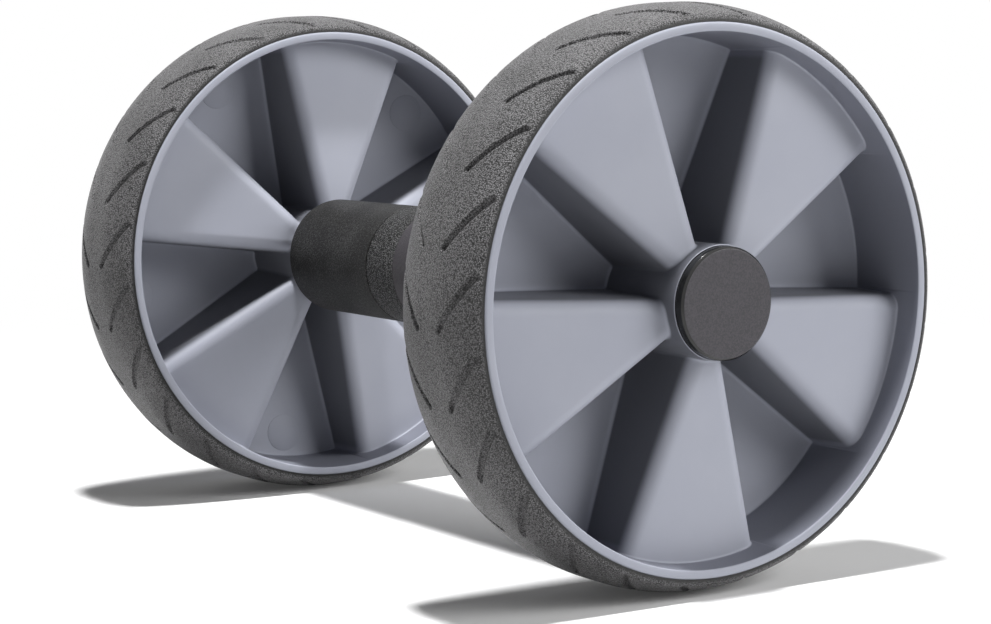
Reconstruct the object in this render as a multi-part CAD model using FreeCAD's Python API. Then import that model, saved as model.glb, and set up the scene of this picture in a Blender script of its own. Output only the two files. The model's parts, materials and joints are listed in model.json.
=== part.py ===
import FreeCAD, Part
import math
import os

# Twin-wheel ab roller: two dished wheels spin freely on the ends of one axle, and the
# hands hold the soft grip between them.
# Sizes are in millimetres. The axle runs along Y at the height of the tyre's radius,
# +X is the way it rolls and +Z is up. The origin is on the floor under the axle's middle.
# Pieces are modelled along their own Z axis, with +Z pointing out of the roller's end,
# and then turned to the right end (-Y) or the left end (+Y).

Vector = FreeCAD.Vector
ORIGIN = Vector(0, 0, 0)
ACROSS = Vector(1, 0, 0)
ALONG = Vector(0, 0, 1)
MATCH = 0.01                 # nearer than this, two places are the same

# Tyre
TYRE_DIAMETER = 180.0
TYRE_CROWN = 6.2             # rubber over the rim at the middle of the tread
TYRE_SHOULDER_RADIUS = 3.0
TREAD_FLAT = 8.0             # flat band in the middle, which rolls on the floor
TYRE_EDGE_INSET = 0.4        # rubber stops this far short of the rim's faces
TYRE_KEY_DEPTH = 1.2         # rib under the rubber that sits in the rim's groove
TYRE_KEY_WIDTH = 22.0

# Wheel moulding
WHEEL_WIDTH = 42.0
RIM_WALL = 3.5
RIM_LIP_BEVEL = 0.8
SPOKE_COUNT = 5
SPOKE_RIM_DEPTH = 9.1        # spoke's face below the rim's face, at the rim
SPOKE_HUB_DEPTH = 3.7        # the same, at the hub
SPOKE_EDGE_ROUND = 5.0
WEB_WALL = 4.5               # plastic under a spoke's face
SIDE_WALL = 2.8              # plastic between neighbouring pockets
SIDE_DRAFT = 2.0             # degrees
POCKET_FILLET = 1.2
HUB_LEDGE = 2.4              # ring of the hub that shows round the cap
HUB_EDGE_BEVEL = 1.0
HUB_INNER_SETBACK = 0.6      # inner end of the hub behind the rim's inner face

# Axle, bushes and fasteners
AXLE_DIAMETER = 12.0
AXLE_CHAMFER = 0.8
STUB_DIAMETER = 8.0
STUB_PROJECTION = 1.0        # threaded stub past the nut
RUNNING_CLEARANCE = 0.05
PRESS_CLEARANCE = 0.02
END_PLAY = 0.15
BUSH_WALL = 3.0
BUSH_FLANGE = 3.0            # flange past the sleeve
BUSH_FLANGE_THICKNESS = 2.0
BUSH_GAP = 7.0               # between the two bushes in one hub
BUSH_CHAMFER = 0.5
THRUST_WASHER_THICKNESS = 1.2
LOCK_WASHER_THICKNESS = 1.5
WASHER_MARGIN = 0.6          # washers' rims inside the bush flanges
NUT_WIDTH = 13.0             # across flats
NUT_HEX_HEIGHT = 5.5
NUT_COLLAR_HEIGHT = 2.5
NUT_COLLAR_INSET = 0.5
NUT_HEADROOM = 0.4
NUT_CHAMFER = 0.7

# Hub cap
CAP_HEIGHT = 4.3
CAP_BEVEL = 0.7
CAP_TOP = 2.5
CAP_SEAT = 3.3               # cap's flange that rests on the hub
CAP_RECESS_CLEARANCE = 1.4   # round the outer bush's flange
CAP_SKIRT_WALL = 1.5
CAP_SKIRT_LENGTH = 5.5
CAP_SKIRT_CLEARANCE = 0.1
CAP_BEAD = 0.5
CAP_BEAD_WIDTH = 1.6
CAP_BEAD_DEPTH = 2.6         # bead's middle below the hub's face

# Grip
GRIP_SPAN = 188.0            # between the rims' inner faces
GRIP_DIAMETER = 42.0
GRIP_END_GAP = 0.3           # grip's ends inside the rims' inner faces
GRIP_END_BEVEL = 1.2
GRIP_JOINT_BEVEL = 0.5
SLEEVE_WALL = 5.0
CENTRE_SLEEVE_LENGTH = 74.4
GRAIN_BAND_WIDTH = 18.0
WAIST_DEPTH = 0.25           # plain waist below the grained bands
CORE_TUBE_WALL = 1.8
PLUG_FLANGE_THICKNESS = 2.5
PLUG_SPIGOT_LENGTH = 14.0
PLUG_CHAMFER = 1.0

# How far each wheel has rolled round
RIGHT_WHEEL_TURN = 15.5      # degrees
LEFT_WHEEL_TURN = 24.7
TYRE_TURN = 2.1              # tyres on their rims

# Sizes that follow from those above
TYRE_RADIUS = TYRE_DIAMETER / 2
RIM_RADIUS = TYRE_RADIUS - TYRE_CROWN
RIM_INNER_RADIUS = RIM_RADIUS - RIM_WALL
HALF_WIDTH = WHEEL_WIDTH / 2
WHEEL_OFFSET = GRIP_SPAN / 2 + HALF_WIDTH
SECTOR = 180 / SPOKE_COUNT
TYRE_HALF = HALF_WIDTH - TYRE_EDGE_INSET
CROWN_REACH = TYRE_HALF - TYRE_SHOULDER_RADIUS - TREAD_FLAT / 2
CROWN_SQUARES = CROWN_REACH ** 2 + TYRE_CROWN ** 2 - TYRE_SHOULDER_RADIUS ** 2
CROWN_RADIUS = CROWN_SQUARES / (2 * (TYRE_CROWN - TYRE_SHOULDER_RADIUS))

AXLE_RADIUS = AXLE_DIAMETER / 2
STUB_RADIUS = STUB_DIAMETER / 2
BUSH_BORE_RADIUS = AXLE_RADIUS + RUNNING_CLEARANCE
BUSH_RADIUS = BUSH_BORE_RADIUS + BUSH_WALL
BUSH_FLANGE_RADIUS = BUSH_RADIUS + BUSH_FLANGE
WASHER_RADIUS = BUSH_FLANGE_RADIUS - WASHER_MARGIN
NUT_HEIGHT = NUT_HEX_HEIGHT + NUT_COLLAR_HEIGHT

RECESS_RADIUS = BUSH_FLANGE_RADIUS + CAP_RECESS_CLEARANCE
CAP_RADIUS = RECESS_RADIUS + CAP_SEAT
HUB_RADIUS = CAP_RADIUS + HUB_LEDGE
OUTER_STACK = BUSH_FLANGE_THICKNESS + END_PLAY + LOCK_WASHER_THICKNESS + NUT_HEIGHT
RECESS_FLOOR = HALF_WIDTH - OUTER_STACK - STUB_PROJECTION - NUT_HEADROOM
SHOULDER = RECESS_FLOOR + BUSH_FLANGE_THICKNESS + END_PLAY
STUB_END = RECESS_FLOOR + OUTER_STACK + STUB_PROJECTION
HUB_INNER_END = HUB_INNER_SETBACK - HALF_WIDTH
INNER_FLANGE_SEAT = BUSH_FLANGE_THICKNESS - HALF_WIDTH
BUSH_LENGTH = (RECESS_FLOOR - INNER_FLANGE_SEAT - BUSH_GAP) / 2

SLEEVE_BORE_RADIUS = GRIP_DIAMETER / 2 - SLEEVE_WALL
CORE_TUBE_RADIUS = SLEEVE_BORE_RADIUS - PRESS_CLEARANCE
CORE_TUBE_BORE_RADIUS = CORE_TUBE_RADIUS - CORE_TUBE_WALL
THRUST_FACE = GRIP_SPAN / 2 - END_PLAY
PLUG_FACE = THRUST_FACE - THRUST_WASHER_THICKNESS
CORE_TUBE_END = PLUG_FACE - PLUG_FLANGE_THICKNESS


def bevelled(corners):
    """Outline points through (radius, height, bevel) corners, with each bevel cut off."""
    points = [Vector(corner[0], 0, corner[1]) for corner in corners]
    outline = []
    for index, here in enumerate(points):
        bevel = corners[index][2] if len(corners[index]) > 2 else 0
        if not bevel:
            outline.append(here)
            continue
        for neighbour in (points[index - 1], points[(index + 1) % len(points)]):
            outline.append(here + (neighbour - here).normalize() * bevel)
    return outline


def spun(wire):
    """Solid of revolution of an outline about the piece's own axis."""
    return Part.Face(wire).revolve(ORIGIN, ALONG, 360)


def turned(corners):
    """Solid turned from an outline of (radius, height, bevel) corners."""
    outline = bevelled(corners)
    return spun(Part.makePolygon(outline + outline[:1]))


def tube(inner, outer, low, high):
    """Plain tube."""
    return turned([(inner, low), (outer, low), (outer, high), (inner, high)])


def repeated(shape, count):
    """Copies of a shape spread evenly round the axis."""
    copies = []
    for index in range(count):
        copy = shape.copy()
        copy.rotate(ORIGIN, ALONG, index * 360 / count)
        copies.append(copy)
    return copies


def flat_solid(first, second):
    """Flat-faced solid between two rings of corners."""
    rings = [first, second]
    for index in range(len(first)):
        rings.append([first[index - 1], first[index], second[index], second[index - 1]])
    faces = [Part.Face(Part.makePolygon(ring + ring[:1])) for ring in rings]
    solid = Part.Solid(Part.Shell(faces))
    if solid.Volume < 0:
        solid.reverse()
    return solid


def spoke_face(reach):
    """Height of a spoke's flat face over the wheel's middle plane, along the spoke's middle."""
    share = (reach - HUB_RADIUS) / (RIM_INNER_RADIUS - HUB_RADIUS)
    return HALF_WIDTH - SPOKE_HUB_DEPTH - share * (SPOKE_RIM_DEPTH - SPOKE_HUB_DEPTH)


def face_height(point):
    """Height of the spokes' faces at a point, on the side of the web that it lies on."""
    angle = math.degrees(math.atan2(point.y, point.x))
    first = SECTOR if point.z > 0 else 0
    aside = (angle - first + SECTOR) % (2 * SECTOR) - SECTOR
    return spoke_face(math.hypot(point.x, point.y) * math.cos(math.radians(aside)))


def faceted_block():
    """Everything below the flat faces of the outer spokes, as a shallow pyramid."""
    slope = (SPOKE_RIM_DEPTH - SPOKE_HUB_DEPTH) / (RIM_INNER_RADIUS - HUB_RADIUS)
    base = (spoke_face(0) + HALF_WIDTH) / slope
    sections = []
    for reach in (base, SIDE_WALL):
        sections.append(ring_points(reach / math.cos(math.radians(SECTOR)), spoke_face(reach)))
    return flat_solid(*sections)


def ring_points(radius, height):
    """Ring of points over the middles of the pockets."""
    angles = [math.radians(2 * SECTOR * index) for index in range(SPOKE_COUNT)]
    return [Vector(radius * math.cos(angle), radius * math.sin(angle), height) for angle in angles]


def pocket_tool(near, far):
    """Flat-sided wedge that hollows out the space between two spokes on the outer face."""
    half = math.radians(SECTOR / 2)
    draft = math.tan(math.radians(SIDE_DRAFT))
    sections = []
    for reach in (near, far):
        corners = []
        for height in (WEB_WALL - spoke_face(reach), HALF_WIDTH):
            tip = (SIDE_WALL / 2 - height * draft) / math.sin(half)
            width = (reach - tip) * math.tan(half)
            corners += [Vector(reach, -width, height), Vector(reach, width, height)]
        sections.append([corners[0], corners[1], corners[3], corners[2]])
    pocket = flat_solid(*sections)
    floor_edges = [edge for edge in pocket.Edges
                   if edge.BoundBox.ZMax < 0 and edge.BoundBox.XLength > (far - near) / 2]
    return pocket.makeFillet(POCKET_FILLET, floor_edges)


def flipped(shape):
    """Copy of a shape for the wheel's inner face, where spokes and pockets change places."""
    copy = shape.copy()
    copy.rotate(ORIGIN, ACROSS, 180)
    copy.rotate(ORIGIN, ALONG, SECTOR)
    return copy


def spoke_edges(web, inner, outer):
    """Edges along both sides of every spoke's face, on both sides of the web."""
    edges = []
    for edge in web.Edges:
        ends = [vertex.Point for vertex in edge.Vertexes]
        if len(ends) < 2:
            continue
        radii = [math.hypot(end.x, end.y) for end in ends]
        on_face = all(abs(abs(end.z) - face_height(end)) < MATCH for end in ends)
        if on_face and max(radii) - min(radii) > (outer - inner) / 2:
            edges.append(edge)
    return edges


def web():
    """Corrugated web: the back of each pocket is a spoke on the wheel's other face."""
    inner = HUB_RADIUS - HUB_LEDGE
    outer = RIM_INNER_RADIUS + RIM_WALL / 2
    block = faceted_block()
    underside = flipped(block)
    disc = tube(inner, outer, -HALF_WIDTH, HALF_WIDTH).common(block).common(underside)
    pocket = pocket_tool(inner - HUB_LEDGE, outer + RIM_WALL)
    pockets = repeated(pocket, SPOKE_COUNT) + repeated(flipped(pocket), SPOKE_COUNT)
    corrugated = disc.cut(pockets)
    return corrugated.makeFillet(SPOKE_EDGE_ROUND, spoke_edges(corrugated, inner, outer))


def rim():
    """Rim ring with rounded lips and a groove that keys the tyre."""
    key_floor = RIM_RADIUS - TYRE_KEY_DEPTH
    key_half = TYRE_KEY_WIDTH / 2
    return turned([(RIM_INNER_RADIUS, -HALF_WIDTH, RIM_LIP_BEVEL), (RIM_RADIUS, -HALF_WIDTH, TYRE_EDGE_INSET),
                   (RIM_RADIUS, -key_half), (key_floor, -key_half), (key_floor, key_half),
                   (RIM_RADIUS, key_half), (RIM_RADIUS, HALF_WIDTH, TYRE_EDGE_INSET),
                   (RIM_INNER_RADIUS, HALF_WIDTH, RIM_LIP_BEVEL)])


def hub():
    """Hub with the two bush seats, the recess under the cap and the groove for the cap's bead."""
    bore = BUSH_RADIUS + PRESS_CLEARANCE
    seat = BUSH_FLANGE_RADIUS + PRESS_CLEARANCE
    bead_floor = RECESS_RADIUS + CAP_BEAD
    bead_middle = HALF_WIDTH - CAP_BEAD_DEPTH
    bead_half = CAP_BEAD_WIDTH / 2
    return turned([(seat, HUB_INNER_END), (HUB_RADIUS, HUB_INNER_END, HUB_EDGE_BEVEL),
                   (HUB_RADIUS, HALF_WIDTH, HUB_EDGE_BEVEL), (RECESS_RADIUS, HALF_WIDTH),
                   (RECESS_RADIUS, bead_middle + bead_half + CAP_BEAD), (bead_floor, bead_middle + bead_half),
                   (bead_floor, bead_middle - bead_half), (RECESS_RADIUS, bead_middle - bead_half - CAP_BEAD),
                   (RECESS_RADIUS, RECESS_FLOOR), (bore, RECESS_FLOOR),
                   (bore, INNER_FLANGE_SEAT), (seat, INNER_FLANGE_SEAT)])


def wheel_body():
    """One-piece moulding: rim, corrugated web and hub."""
    return hub().fuse([web(), rim()]).removeSplitter()


def tyre():
    """Tyre with a flat band, crowned sides and round shoulders, and a rib that sits in the rim's groove."""
    shoulder = TYRE_SHOULDER_RADIUS
    top = math.pi / 2
    rise = math.acos(CROWN_REACH / (CROWN_RADIUS - shoulder))

    def on_shoulder(side, angle):
        return Vector(RIM_RADIUS + shoulder * math.sin(angle), 0,
                      side * (TYRE_HALF - shoulder + shoulder * math.cos(angle)))

    def on_crown(side, angle):
        return Vector(TYRE_RADIUS - CROWN_RADIUS * (1 - math.sin(angle)), 0,
                      side * (TREAD_FLAT / 2 + CROWN_RADIUS * math.cos(angle)))

    key_floor = RIM_RADIUS - TYRE_KEY_DEPTH
    key_half = TYRE_KEY_WIDTH / 2
    inside = [on_shoulder(1, 0), Vector(RIM_RADIUS, 0, key_half), Vector(key_floor, 0, key_half),
              Vector(key_floor, 0, -key_half), Vector(RIM_RADIUS, 0, -key_half), on_shoulder(-1, 0)]
    edges = [Part.LineSegment(*pair).toShape() for pair in zip(inside, inside[1:])]
    edges.append(Part.LineSegment(on_crown(-1, top), on_crown(1, top)).toShape())
    for side in (-1, 1):
        corner = on_shoulder(side, rise)
        edges.append(Part.Arc(on_crown(side, top), on_crown(side, (top + rise) / 2), corner).toShape())
        edges.append(Part.Arc(on_shoulder(side, 0), on_shoulder(side, rise / 2), corner).toShape())
    return spun(Part.Wire(Part.__sortEdges__(edges)))


def bush(seat, facing):
    """Flanged plain bush whose sleeve runs from its seat into the hub."""
    flange = seat + facing * BUSH_FLANGE_THICKNESS
    tip = seat - facing * BUSH_LENGTH
    return turned([(BUSH_BORE_RADIUS, flange), (BUSH_FLANGE_RADIUS, flange), (BUSH_FLANGE_RADIUS, seat),
                   (BUSH_RADIUS, seat), (BUSH_RADIUS, tip + facing * BUSH_CHAMFER),
                   (BUSH_RADIUS - BUSH_CHAMFER, tip), (BUSH_BORE_RADIUS, tip)])


def hub_cap():
    """Flat cap with a bevelled edge and a snap skirt, hollow over the axle's nut."""
    seat = HALF_WIDTH
    face = seat + CAP_HEIGHT
    skirt = RECESS_RADIUS - CAP_SKIRT_CLEARANCE
    hollow = skirt - CAP_SKIRT_WALL
    bead = skirt + CAP_BEAD
    bead_middle = seat - CAP_BEAD_DEPTH
    bead_half = CAP_BEAD_WIDTH / 2 - CAP_SKIRT_CLEARANCE
    skirt_end = seat - CAP_SKIRT_LENGTH
    return turned([(0, face), (CAP_RADIUS - CAP_BEVEL, face), (CAP_RADIUS, face - CAP_BEVEL),
                   (CAP_RADIUS, seat), (skirt, seat), (skirt, bead_middle + bead_half + CAP_BEAD),
                   (bead, bead_middle + bead_half), (bead, bead_middle - bead_half),
                   (skirt, bead_middle - bead_half - CAP_BEAD), (skirt, skirt_end), (hollow, skirt_end),
                   (hollow, face - CAP_TOP), (0, face - CAP_TOP)])


def washer(bore, low, thickness):
    """Flat ring."""
    return tube(bore + RUNNING_CLEARANCE, WASHER_RADIUS, low, low + thickness)


def lock_nut(low):
    """Hexagon nut with a round locking collar."""
    across = NUT_WIDTH / 2
    corner = across / math.cos(math.radians(30))
    corners = [Vector(corner, 0, low)]
    for index in range(1, 6):
        angle = math.radians(60 * index)
        corners.append(Vector(corner * math.cos(angle), corner * math.sin(angle), low))
    hexagon = Part.Face(Part.makePolygon(corners + corners[:1])).extrude(ALONG * NUT_HEX_HEIGHT)
    shoulder = low + NUT_HEX_HEIGHT
    trim = turned([(0, low), (across, low), (corner, low + NUT_CHAMFER), (corner, shoulder - NUT_CHAMFER),
                   (across, shoulder), (0, shoulder)])
    collar = across - NUT_COLLAR_INSET
    top = shoulder + NUT_COLLAR_HEIGHT
    ring = turned([(0, shoulder), (collar, shoulder), (collar, top, NUT_CHAMFER), (0, top)])
    bore = Part.makeCylinder(STUB_RADIUS + PRESS_CLEARANCE, NUT_HEIGHT, Vector(0, 0, low))
    return hexagon.common(trim).fuse(ring).cut(bore).removeSplitter()


def axle_shaft():
    """Plain shaft with a shouldered, threaded stub at each end."""
    shoulder = WHEEL_OFFSET + SHOULDER
    end = WHEEL_OFFSET + STUB_END
    half = [(AXLE_RADIUS, shoulder), (STUB_RADIUS, shoulder), (STUB_RADIUS, end - AXLE_CHAMFER),
            (STUB_RADIUS - AXLE_CHAMFER, end), (0, end)]
    return turned(half + [(radius, -height) for radius, height in reversed(half)])


def core_tube():
    """Steel tube that carries the grip and keeps the wheels apart."""
    return tube(CORE_TUBE_BORE_RADIUS, CORE_TUBE_RADIUS, -CORE_TUBE_END, CORE_TUBE_END)


def tube_plug():
    """Flanged plug that centres the axle in the end of the core tube."""
    bore = AXLE_RADIUS + PRESS_CLEARANCE
    spigot = CORE_TUBE_BORE_RADIUS - PRESS_CLEARANCE
    tip = CORE_TUBE_END - PLUG_SPIGOT_LENGTH
    return turned([(bore, PLUG_FACE), (CORE_TUBE_RADIUS, PLUG_FACE), (CORE_TUBE_RADIUS, CORE_TUBE_END),
                   (spigot, CORE_TUBE_END), (spigot, tip + PLUG_CHAMFER), (spigot - PLUG_CHAMFER, tip),
                   (bore, tip)])


def end_sleeve():
    """Soft sleeve from the middle of the grip to the wheel."""
    low = CENTRE_SLEEVE_LENGTH / 2
    high = GRIP_SPAN / 2 - GRIP_END_GAP
    radius = GRIP_DIAMETER / 2
    return turned([(SLEEVE_BORE_RADIUS, low), (radius, low, GRIP_JOINT_BEVEL), (radius, high, GRIP_END_BEVEL),
                   (SLEEVE_BORE_RADIUS, high)])


def centre_sleeve():
    """Middle sleeve: a grained band at each end of a plain waist."""
    radius = GRIP_DIAMETER / 2
    waist = radius - WAIST_DEPTH
    half = CENTRE_SLEEVE_LENGTH / 2
    band = half - GRAIN_BAND_WIDTH
    return turned([(SLEEVE_BORE_RADIUS, -half), (radius, -half, GRIP_JOINT_BEVEL), (radius, -band),
                   (waist, -band + WAIST_DEPTH), (waist, band - WAIST_DEPTH), (radius, band),
                   (radius, half, GRIP_JOINT_BEVEL), (SLEEVE_BORE_RADIUS, half)])


def to_right(shape):
    """Turn a piece to the right end of the roller, with its axis along -Y."""
    upright = FreeCAD.Rotation(ACROSS, 90)
    return shape.transformed(FreeCAD.Placement(Vector(0, 0, TYRE_RADIUS), upright).toMatrix())


def to_left(shape):
    """Turn a piece to the left end of the roller, with its axis along +Y."""
    return to_right(shape).rotated(Vector(0, 0, TYRE_RADIUS), ALONG, 180)


def wheel_pieces():
    """Pieces that spin as one wheel, about the wheel's own middle."""
    return {
        "wheel_body": wheel_body(),
        "tyre": tyre(),
        "inner_bush": bush(INNER_FLANGE_SEAT, -1),
        "outer_bush": bush(RECESS_FLOOR, 1),
        "hub_cap": hub_cap(),
    }


def handle_end_pieces():
    """Pieces of the handle that are the same at both ends."""
    lock_washer_seat = WHEEL_OFFSET + SHOULDER
    return {
        "tube_plug": tube_plug(),
        "grip_sleeve": end_sleeve(),
        "thrust_washer": washer(AXLE_RADIUS, PLUG_FACE, THRUST_WASHER_THICKNESS),
        "lock_washer": washer(STUB_RADIUS, lock_washer_seat, LOCK_WASHER_THICKNESS),
        "lock_nut": lock_nut(lock_washer_seat + LOCK_WASHER_THICKNESS),
    }


def all_nodes():
    """Every piece of the roller in place, by name."""
    nodes = {
        "axle_shaft": to_right(axle_shaft()),
        "grip_core_tube": to_right(core_tube()),
        "centre_grip_sleeve": to_right(centre_sleeve()),
    }
    wheel = wheel_pieces()
    ends = handle_end_pieces()
    sides = (("right", to_right, RIGHT_WHEEL_TURN), ("left", to_left, LEFT_WHEEL_TURN))
    for side, place, wheel_turn in sides:
        for name, piece in ends.items():
            nodes[side + "_" + name] = place(piece)
        for name, piece in wheel.items():
            turn = TYRE_TURN if name == "tyre" else wheel_turn
            rolled = piece.rotated(ORIGIN, ALONG, turn)
            nodes[side + "_" + name] = place(rolled.translated(ALONG * WHEEL_OFFSET))
    return nodes


os.makedirs("parts", exist_ok=True)
for node, piece in all_nodes().items():
    piece.exportStep("parts/" + node + ".step")
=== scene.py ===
"""Ab wheel roller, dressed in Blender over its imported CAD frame.

Sizes in the classes are millimetres in a wheel's own axes: the axle runs along local Z, outwards from the
roller's middle. Meshes are made in metres, in the frame of the CAD model.
"""
from __future__ import annotations

import json
import logging
import math
from dataclasses import dataclass
from enum import Enum
from typing import Callable, Iterable, Mapping, Optional, Sequence, Union

import bmesh
import bpy
from mathutils import Matrix, Vector

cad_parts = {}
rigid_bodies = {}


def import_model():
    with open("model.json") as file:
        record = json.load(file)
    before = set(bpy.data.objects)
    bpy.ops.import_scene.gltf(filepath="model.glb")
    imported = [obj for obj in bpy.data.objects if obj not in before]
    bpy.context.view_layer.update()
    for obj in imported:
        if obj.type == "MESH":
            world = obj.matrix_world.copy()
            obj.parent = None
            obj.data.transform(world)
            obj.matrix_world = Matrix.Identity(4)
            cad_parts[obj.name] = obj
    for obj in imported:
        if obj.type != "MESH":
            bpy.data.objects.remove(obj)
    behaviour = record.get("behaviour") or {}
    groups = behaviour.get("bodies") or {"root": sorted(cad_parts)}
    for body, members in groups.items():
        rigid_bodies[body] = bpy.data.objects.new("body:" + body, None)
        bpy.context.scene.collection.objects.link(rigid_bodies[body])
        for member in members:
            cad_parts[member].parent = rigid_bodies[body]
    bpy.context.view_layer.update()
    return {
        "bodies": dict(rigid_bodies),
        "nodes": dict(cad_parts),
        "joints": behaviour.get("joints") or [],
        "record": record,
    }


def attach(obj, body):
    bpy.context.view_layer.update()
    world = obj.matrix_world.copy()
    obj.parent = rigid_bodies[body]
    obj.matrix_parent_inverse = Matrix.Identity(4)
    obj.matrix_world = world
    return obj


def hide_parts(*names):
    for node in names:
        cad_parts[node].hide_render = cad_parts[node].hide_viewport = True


LOG = logging.getLogger("ab_roller")
MM = 0.001
AXLE_HEIGHT = 90.0
WHEEL_OFFSET = 115.0
RIM_RADIUS = 83.8
KEY_DEPTH = 1.2
KEY_HALF = 11.0
WELD = 2e-6

Colour = tuple[float, float, float, float]
Point = tuple[float, float]
Place = tuple[float, float, float]
Row = tuple[float, float, float, float]
SocketValue = Union["Wire", float, tuple, str]


class Side(Enum):
    """End of the roller that a wheel sits on."""

    RIGHT = -1
    LEFT = 1

    @property
    def word(self) -> str:
        """Prefix of the side's node and body names."""
        return self.name.lower()

    @property
    def wheel_body(self) -> str:
        """Name of the CAD body that spins at this end."""
        return self.word + "_wheel"

    def turn(self, degrees: float) -> float:
        """Local angle of a place seen at an angle from the roller's right, from the front towards the top."""
        return degrees if self is Side.RIGHT else 180.0 - degrees

    def place(self, radius: float, angle: float, height: float) -> Vector:
        """World position of a point of a wheel.

        Args:
            radius: Distance from the axle in millimetres.
            angle: Local angle in radians.
            height: Distance outwards from the wheel's middle plane in millimetres.

        Returns:
            The point in metres.
        """
        ahead = -self.value * radius * math.cos(angle)
        along = self.value * (WHEEL_OFFSET + height)
        return Vector((ahead, along, AXLE_HEIGHT + radius * math.sin(angle))) * MM


FIRST_POCKET = {Side.RIGHT: 15.5, Side.LEFT: 24.7}
FIRST_GROOVE = {Side.RIGHT: 2.4, Side.LEFT: 0.5}


class Wire:
    """Output of a shader node, with operators that add Math nodes."""

    def __init__(self, bench: "NodeBench", socket: bpy.types.NodeSocket) -> None:
        """Keep the bench that the node stands on, and the node's socket."""
        self.bench = bench
        self.socket = socket

    def __add__(self, other: SocketValue) -> "Wire":
        """Sum."""
        return self.bench.math("ADD", self, other)

    def __radd__(self, other: SocketValue) -> "Wire":
        """Sum with a plain number in front."""
        return self.bench.math("ADD", other, self)

    def __sub__(self, other: SocketValue) -> "Wire":
        """Difference."""
        return self.bench.math("SUBTRACT", self, other)

    def __rsub__(self, other: SocketValue) -> "Wire":
        """Difference with a plain number in front."""
        return self.bench.math("SUBTRACT", other, self)

    def __mul__(self, other: SocketValue) -> "Wire":
        """Product."""
        return self.bench.math("MULTIPLY", self, other)

    def __abs__(self) -> "Wire":
        """Size without its sign."""
        return self.bench.math("ABSOLUTE", self, 0.0)

    def root(self) -> "Wire":
        """Square root."""
        return self.bench.math("SQRT", self, 0.0)

    def least(self, other: SocketValue) -> "Wire":
        """Smaller of two values."""
        return self.bench.math("MINIMUM", self, other)

    def rise(self, low: float, high: float) -> "Wire":
        """Smooth step from 0 at a low value to 1 at a high one."""
        settings = {"interpolation_type": "SMOOTHSTEP", "clamp": True}
        return self.bench.add("ShaderNodeMapRange", settings, {0: self, 1: low, 2: high, 3: 0.0, 4: 1.0})


class NodeBench:
    """Node tree of one material or of the world, to which nodes are added."""

    def __init__(self, tree: bpy.types.NodeTree) -> None:
        """Start with an empty tree."""
        self.tree = tree
        tree.nodes.clear()

    def add(self, kind: str, settings: Optional[Mapping[str, object]] = None,
            sockets: Optional[Mapping[Union[str, int], SocketValue]] = None,
            output: Union[str, int] = 0) -> Wire:
        """Add a node.

        Args:
            kind: Blender's name of the node's type.
            settings: Properties of the node, set first.
            sockets: Values or wires of its inputs, by name or number.
            output: The output that is returned.

        Returns:
            The wire from that output.
        """
        node = self.tree.nodes.new(kind)
        for key, value in (settings or {}).items():
            setattr(node, key, value)
        for key, value in (sockets or {}).items():
            if isinstance(value, Wire):
                self.tree.links.new(value.socket, node.inputs[key])
            else:
                node.inputs[key].default_value = value
        return Wire(self, node.outputs[output])

    def end(self, kind: str, surface: Wire) -> None:
        """Add the tree's output node and wire its surface."""
        self.tree.links.new(surface.socket, self.tree.nodes.new(kind).inputs["Surface"])

    def math(self, operation: str, first: SocketValue, second: SocketValue) -> Wire:
        """Add a Math node for an expression on values."""
        return self.add("ShaderNodeMath", {"operation": operation}, {0: first, 1: second})

    def mix(self, factor: SocketValue, first: SocketValue, second: SocketValue) -> Wire:
        """Mix two colours by the share of the second."""
        return self.add("ShaderNodeMix", {"data_type": "RGBA"}, {0: factor, 6: first, 7: second}, 2)

    def place(self) -> Wire:
        """Position on the piece in metres, in the frame of the CAD model."""
        return self.add("ShaderNodeTexCoord", output="Object")

    def noise(self, where: Wire, grain: float, detail: float = 2.0, roughness: float = 0.5) -> Wire:
        """Cloudy noise about 0.5, with clouds of a size in millimetres."""
        sockets = {"Vector": where, "Scale": 1.0 / (grain * MM), "Detail": detail, "Roughness": roughness}
        return self.add("ShaderNodeTexNoise", None, sockets)

    def cells(self, where: Wire, grain: float) -> Wire:
        """Distance to the nearest of scattered points, which lie a grain in millimetres apart."""
        sockets = {"Vector": where, "Scale": 1.0 / (grain * MM)}
        return self.add("ShaderNodeTexVoronoi", None, sockets)

    def bump(self, height: Wire, depth: float, strength: float = 1.0, over: Optional[Wire] = None) -> Wire:
        """Bumped normal.

        Args:
            height: Height wire, from 0 to 1.
            depth: Depth of the relief in millimetres.
            strength: Share of the relief that shows.
            over: Normal of a relief underneath.

        Returns:
            The normal.
        """
        sockets = {"Strength": strength, "Distance": depth * MM, "Height": height}
        if over is not None:
            sockets["Normal"] = over
        return self.add("ShaderNodeBump", None, sockets)

    def axle_distance(self, where: Wire) -> Wire:
        """Distance from the axle in metres.

        Args:
            where: Position wire.

        Returns:
            The distance.
        """
        ahead = self.add("ShaderNodeSeparateXYZ", None, {0: where}, "X")
        up = self.add("ShaderNodeSeparateXYZ", None, {0: where}, "Z") - AXLE_HEIGHT * MM
        return (ahead * ahead + up * up).root()

    def axle_offset(self, where: Wire) -> Wire:
        """Distance along the axle from the roller's middle in metres, on either side."""
        return abs(self.add("ShaderNodeSeparateXYZ", None, {0: where}, "Y"))


def grey(value: float, warmth: float = 0.0) -> Colour:
    """Near-grey colour of a linear brightness; warmth lifts red and lowers blue."""
    return (value * (1.0 + warmth), value, value * (1.0 - warmth), 1.0)


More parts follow.
